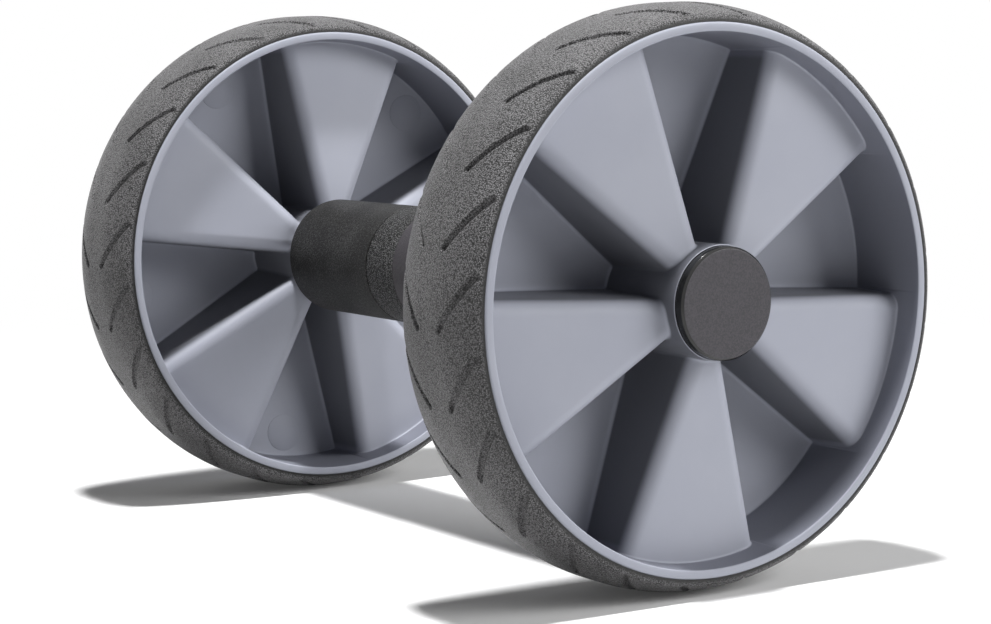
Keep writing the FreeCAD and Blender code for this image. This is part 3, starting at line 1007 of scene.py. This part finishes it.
@dataclass
class TreadedTyre:
    """Rubber tyre with two rows of slanted grooves that point back from a plain middle band."""

    side: Side
    first_groove: float
    radius: float = 90.0
    half_width: float = 20.6
    flat_half: float = 4.0
    crown_height: float = 6.2
    shoulder: float = 3.0
    pitches: int = 24
    groove_half: float = 1.05
    groove_depth: float = 1.0
    groove_flank: float = 0.6
    groove_start: float = 5.8
    groove_reach: float = 13.0
    groove_sweep: float = 16.2
    pit_radius: float = 1.2
    pit_depth: float = 0.7
    groove_ease: float = 0.35
    pit_slope: float = 2.0
    columns: tuple[float, ...] = (0.0, 0.7, 1.25, 1.6, 1.95, 2.3, 2.7, 3.6, 5.6, 8.6)
    flat_rows: tuple[float, ...] = (0.0, 1.4, 2.8)
    crown_rows: tuple[float, ...] = (4.4, 4.8, 5.2, 5.6, 6.1, 6.6, 7.2, 8.0, 9.0, 10.0, 11.0, 12.0, 13.0,
                                     14.0, 15.0, 16.0, 16.8, 17.4, 17.9, 18.3, 18.7)
    shoulder_steps: int = 8
    crease: float = 65.0

    @property
    def crown(self) -> float:
        """Radius of the crowned sides.

        Returns:
            The radius that meets the flat middle and the shoulder.
        """
        reach = self.half_width - self.shoulder - self.flat_half
        squares = reach ** 2 + self.crown_height ** 2 - self.shoulder ** 2
        return squares / (2.0 * (self.crown_height - self.shoulder))

    def half_outline(self) -> list[Row]:
        """Outline of the tread from its middle to its edge.

        Returns:
            (radius, height, outward direction along the radius and along the axle) of each row.
        """
        crown = self.crown
        rise = math.acos((self.half_width - self.shoulder - self.flat_half) / (crown - self.shoulder))
        rows = [(self.radius, height, 1.0, 0.0) for height in self.flat_rows + (self.flat_half,)]
        for height in self.crown_rows:
            lean = math.acos((height - self.flat_half) / crown)
            radius = self.radius - crown * (1.0 - math.sin(lean))
            rows.append((radius, height, math.sin(lean), math.cos(lean)))
        for step in range(self.shoulder_steps + 1):
            lean = rise * (1.0 - step / self.shoulder_steps)
            radius = RIM_RADIUS + self.shoulder * math.sin(lean)
            height = self.half_width - self.shoulder * (1.0 - math.cos(lean))
            rows.append((radius, height, math.sin(lean), math.cos(lean)))
        return rows

    def slant(self, height: float) -> float:
        """Shift of a row round the tyre, so that the columns run along the grooves."""
        reach = min(max(abs(height), self.flat_half), self.groove_start + self.groove_reach)
        return -self.groove_sweep * (reach - self.groove_start) / self.groove_reach

    def depth(self, across: float, height: float) -> float:
        """Depth of the groove at a place.

        Args:
            across: Distance round the tyre from the groove's inner end.
            height: Distance from the middle of the tread.

        Returns:
            The depth, 0 outside the groove.
        """
        run = Vector((-self.groove_sweep, self.groove_reach))
        start = Vector((across, abs(height) - self.groove_start))
        along = min(max(start.dot(run) / run.length_squared, 0.0), 1.0)
        inside = (self.groove_half - (start - run * along).length) / self.groove_flank
        pit = self.pit_slope * (1.0 - start.length / self.pit_radius)
        return self.groove_depth * smooth(inside + self.groove_ease) + self.pit_depth * smooth(pit)

    def build(self) -> bmesh.types.BMesh:
        """Model the tyre as one closed skin whose columns lean along the grooves.

        Returns:
            The mesh.
        """
        pitch = 2.0 * math.pi * self.radius / self.pitches
        offsets = sorted({-value for value in self.columns} | set(self.columns)) + [pitch / 2.0]
        places = [pitch * index + offset for index in range(self.pitches) for offset in offsets]
        lead = 1.0 if self.side is Side.RIGHT else -1.0
        first = math.radians(self.side.turn(self.first_groove))
        half = self.half_outline()
        rows = [(radius, -height, out, -along) for radius, height, out, along in reversed(half[1:])] + half
        skin = RingSkin(len(places))
        for radius, height, out, along in rows:
            shift = self.slant(height)
            ring = []
            for place in places:
                offset = (place + pitch / 2.0) % pitch - pitch / 2.0
                cut = self.depth(offset + shift, height)
                angle = first + lead * (place + shift) / self.radius
                ring.append(self.side.place(radius - cut * out, angle, height - cut * along))
            skin.grow(ring)
        shift = self.slant(self.half_width)
        for radius, height in key_outline():
            skin.grow([self.side.place(radius, first + lead * (place + shift) / self.radius, height)
                       for place in places])
        return skin.close()

    def dress(self, shop: PaintShop) -> None:
        """Publish the tyre in its rubber."""
        word = self.side.word
        shop.publish(self.build(), word + "_treaded_tyre", self.side.wheel_body, word + "_tyre",
                     TYRE_RUBBER, self.crease)


@dataclass
class HubCap:
    """Flat snap-in cap with a slim bevel."""

    side: Side
    seat: float = 21.0
    face: float = 25.3
    radius: float = 17.2
    bevel: float = 0.75
    soft: float = 0.18
    top: float = 2.5
    skirt_radius: float = 13.35
    skirt_wall: float = 1.5
    skirt_end: float = 15.5
    bead: float = 0.5
    bead_low: float = 17.7
    bead_high: float = 19.1
    face_ring: float = 0.6
    foot: float = 0.5
    foot_chamfer: float = 0.15
    edge_steps: int = 3
    steps: int = 128
    crease: float = 35.0

    def outline(self) -> list[Point]:
        """Half section of the cap, from the middle of its face to the middle of its hollow.

        Returns:
            (distance from the axle, height) pairs.
        """
        edge = self.radius - self.bevel
        turn = self.soft * math.tan(math.radians(22.5))
        low = self.face - self.bevel
        points = [(0.0, self.face), (edge * 0.5, self.face), (edge - self.face_ring, self.face)]
        points += arc(edge - turn, self.face - self.soft, self.soft, 90.0, 45.0, self.edge_steps)
        points += arc(self.radius - self.soft, low - turn, self.soft, 45.0, 0.0, self.edge_steps)
        skirt = self.skirt_radius
        bead = skirt + self.bead
        hollow = skirt - self.skirt_wall
        points += [(self.radius, self.seat + self.foot), (self.radius - self.foot_chamfer, self.seat),
                   (skirt, self.seat), (skirt, self.bead_high + self.bead), (bead, self.bead_high),
                   (bead, self.bead_low), (skirt, self.bead_low - self.bead), (skirt, self.skirt_end),
                   (hollow, self.skirt_end), (hollow, self.face - self.top), (0.0, self.face - self.top)]
        return points

    def dress(self, shop: PaintShop) -> None:
        """Publish the cap in its plastic."""
        mesh = spun_mesh(self.outline(), self.side.place, self.steps)
        shop.publish(mesh, self.side.word + "_snap_cap", self.side.wheel_body, self.side.word + "_hub_cap",
                     CAP_PLASTIC, self.crease)


@dataclass
class HandGrip:
    """Soft sleeves on the tube between the wheels."""

    radius: float = 21.0
    bore: float = 16.0
    end: float = 93.7
    end_round: float = 1.2
    joint: float = 37.2
    joint_round: float = 0.5
    joint_gap: float = 0.4
    band: float = 19.2
    waist: float = 0.25
    band_ring: float = 9.0
    step_start: float = 0.12
    step_middle: float = 0.06
    step_end: float = 0.25
    steps: int = 160
    joint_steps: int = 4
    end_steps: int = 6

    @staticmethod
    def place(radius: float, angle: float, height: float) -> Vector:
        """World position of a point of the grip, from its distance along the axle."""
        return Vector((radius * math.cos(angle), height, AXLE_HEIGHT + radius * math.sin(angle))) * MM

    def end_outline(self) -> list[Point]:
        """Half section of an end sleeve.

        Returns:
            (distance from the axle, distance along it) pairs.
        """
        start = self.joint + self.joint_gap
        points = [(self.bore, start)]
        turn = self.joint_round
        points += arc(self.radius - turn, start + turn, turn, -90.0, 0.0, self.joint_steps)
        points += [(self.radius, self.joint + (self.end - self.joint) * share) for share in (0.25, 0.5, 0.75)]
        turn = self.end_round
        points += arc(self.radius - turn, self.end - turn, turn, 0.0, 90.0, self.end_steps)
        return points + [(self.bore, self.end)]

    def centre_outline(self) -> list[Point]:
        """Half section of the middle sleeve.

        Returns:
            (distance from the axle, distance along it) pairs.
        """
        end = self.joint - self.joint_gap
        half = [(self.bore, end)]
        turn = self.joint_round
        half += arc(self.radius - turn, end - turn, turn, 90.0, 0.0, self.joint_steps)
        low = self.radius - self.waist
        half += [(self.radius, self.band + self.band_ring), (self.radius, self.band + self.step_start),
                 (self.radius - self.waist * 0.5, self.band - self.step_middle),
                 (low, self.band - self.step_end), (low, self.band * 0.5), (low, 0.0)]
        return half + [(radius, -height) for radius, height in reversed(half[:-1])]

    def dress(self, shop: PaintShop) -> None:
        """Publish the three sleeves in their rubber.

        Args:
            shop: Paint shop that takes the meshes.
        """
        mesh = spun_mesh(self.centre_outline(), self.place, self.steps)
        shop.publish(mesh, "centre_soft_sleeve", "handle", "centre_grip_sleeve", GRIP_RUBBER)
        for side in Side:
            def at(radius: float, angle: float, height: float, end: Side = side) -> Vector:
                """World position at one end of the grip."""
                return self.place(radius, angle, end.value * height)

            mesh = spun_mesh(self.end_outline(), at, self.steps)
            shop.publish(mesh, side.word + "_soft_sleeve", "handle", side.word + "_grip_sleeve", GRIP_RUBBER)


AIM: Place = (0.0, 0.0, AXLE_HEIGHT * MM)


@dataclass(frozen=True)
class Softbox:
    """Square studio lamp that faces a point."""

    name: str
    place: Place
    aim: Place
    size: float
    power: float

    def hang(self) -> None:
        """Add the lamp to the scene."""
        data = bpy.data.lights.new(self.name, "AREA")
        data.shape = "SQUARE"
        data.size = self.size
        data.energy = self.power
        lamp = bpy.data.objects.new(self.name, data)
        lamp.location = self.place
        lamp.rotation_euler = (Vector(self.aim) - Vector(self.place)).to_track_quat("-Z", "Y").to_euler()
        bpy.context.scene.collection.objects.link(lamp)


@dataclass(frozen=True)
class Studio:
    """White floor, soft lamps and the camera at the photograph's place."""

    camera_place: Place = (-0.4549, -0.7037, 0.1614)
    ahead: Place = (0.54776, 0.83066, -0.0996)
    upwards: Place = (0.05864, 0.08064, 0.99498)
    lens: float = 88.27
    sensor: float = 36.0
    nearest: float = 0.01
    shift: Point = (0.0008, -0.0045)
    ambient: float = 0.04
    backdrop: float = 0.35
    floor_tone: float = 0.97
    bounce_tone: float = 0.6
    floor_lift: float = 0.04
    floor_half: float = 30.0
    fade_start: float = 0.3
    fade_end: float = 0.75
    backdrop_edge: float = 0.75
    lamps: tuple[Softbox, ...] = (
        Softbox("overhead_lamp", (-0.15, -0.16, 1.75), AIM, 0.14, 38.0),
        Softbox("right_softbox", (1.1, -1.35, 1.0), AIM, 1.2, 27.0),
    )

    def set_camera(self) -> None:
        """Put the camera where the photograph was taken from."""
        data = bpy.data.cameras.new("photo_camera")
        data.lens = self.lens
        data.sensor_fit = "HORIZONTAL"
        data.sensor_width = self.sensor
        data.shift_x, data.shift_y = self.shift
        data.clip_start = self.nearest
        back = -Vector(self.ahead).normalized()
        right = Vector(self.upwards).cross(back).normalized()
        frame = Matrix((right, back.cross(right), back)).transposed().to_4x4()
        frame.translation = Vector(self.camera_place)
        camera = bpy.data.objects.new("photo_camera", data)
        camera.matrix_world = frame
        bpy.context.scene.collection.objects.link(camera)
        bpy.context.scene.camera = camera

    @staticmethod
    def seen(bench: NodeBench) -> Wire:
        """Whether a ray shows the background: from the camera, mirrored or through a clear surface.

        Args:
            bench: Bench of the floor or the world.

        Returns:
            1 for such a ray and 0 for others.
        """
        kinds = ("Is Camera Ray", "Is Glossy Ray", "Is Transmission Ray")
        paths = [bench.add("ShaderNodeLightPath", output=kind) for kind in kinds]
        return (paths[0] + paths[1] + paths[2]).least(1.0)

    def lay_floor(self) -> None:
        """Lay a pale floor that keeps the shadow and turns white away from the roller."""
        mesh = bmesh.new()
        bmesh.ops.create_grid(mesh, x_segments=2, y_segments=2, size=self.floor_half)
        data = bpy.data.meshes.new("studio_floor")
        mesh.to_mesh(data)
        mesh.free()
        paint = bpy.data.materials.new("studio_floor")
        paint.use_nodes = True
        bench = NodeBench(paint.node_tree)
        distance = bench.add("ShaderNodeVectorMath", {"operation": "LENGTH"}, {0: bench.place()}, "Value")
        seen = self.seen(bench)
        fade = distance.rise(self.fade_start, self.fade_end)
        away = (self.floor_lift + fade * (1.0 - self.floor_lift)) * seen
        tone = bench.mix(seen, grey(self.bounce_tone), grey(self.floor_tone))
        matt = bench.add("ShaderNodeBsdfDiffuse", None, {"Color": tone})
        white = bench.add("ShaderNodeEmission", None, {"Color": grey(1.0), "Strength": 1.0})
        mixed = bench.add("ShaderNodeMixShader", None, {0: away, 1: matt, 2: white})
        bench.end("ShaderNodeOutputMaterial", mixed)
        data.materials.append(paint)
        floor = bpy.data.objects.new("studio_floor", data)
        bpy.context.scene.collection.objects.link(floor)

    def light(self) -> None:
        """Hang the lamps and set the surround: white to the eye, and as light a dim backdrop."""
        for lamp in self.lamps:
            lamp.hang()
        world = bpy.data.worlds.new("studio_surround")
        world.use_nodes = True
        bench = NodeBench(world.node_tree)
        behind = bench.add("ShaderNodeVectorMath", {"operation": "DOT_PRODUCT"},
                           {0: bench.add("ShaderNodeTexCoord", output="Generated"), 1: self.ahead}, "Value")
        tone = bench.mix(behind.rise(0.0, self.backdrop_edge), grey(self.ambient), grey(self.backdrop))
        dim = bench.add("ShaderNodeBackground", None, {"Color": tone, "Strength": 1.0})
        white = bench.add("ShaderNodeBackground", None, {"Color": grey(1.0), "Strength": 1.0})
        mixed = bench.add("ShaderNodeMixShader", None, {0: self.seen(bench), 1: dim, 2: white})
        bench.end("ShaderNodeOutputWorld", mixed)
        bpy.context.scene.world = world

    def set_up(self) -> None:
        """Set up the whole studio."""
        bpy.context.scene.view_settings.view_transform = "Standard"
        self.set_camera()
        self.lay_floor()
        self.light()


def main() -> None:
    """Load the frame, dress every piece and set up the studio."""
    logging.basicConfig(level=logging.INFO, format="%(name)s %(message)s")
    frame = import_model()
    Studio().set_up()
    shop = PaintShop(FINISHES)
    slots = {part["node"]: part["material_slot"] for part in frame["record"]["subparts"]}
    for name, node in frame["nodes"].items():
        shop.coat(node, slots[name])
    for side in Side:
        WheelMoulding(side, FIRST_POCKET[side]).dress(shop)
        TreadedTyre(side, FIRST_GROOVE[side]).dress(shop)
        HubCap(side).dress(shop)
    HandGrip().dress(shop)


if __name__ == "__main__":
    main()
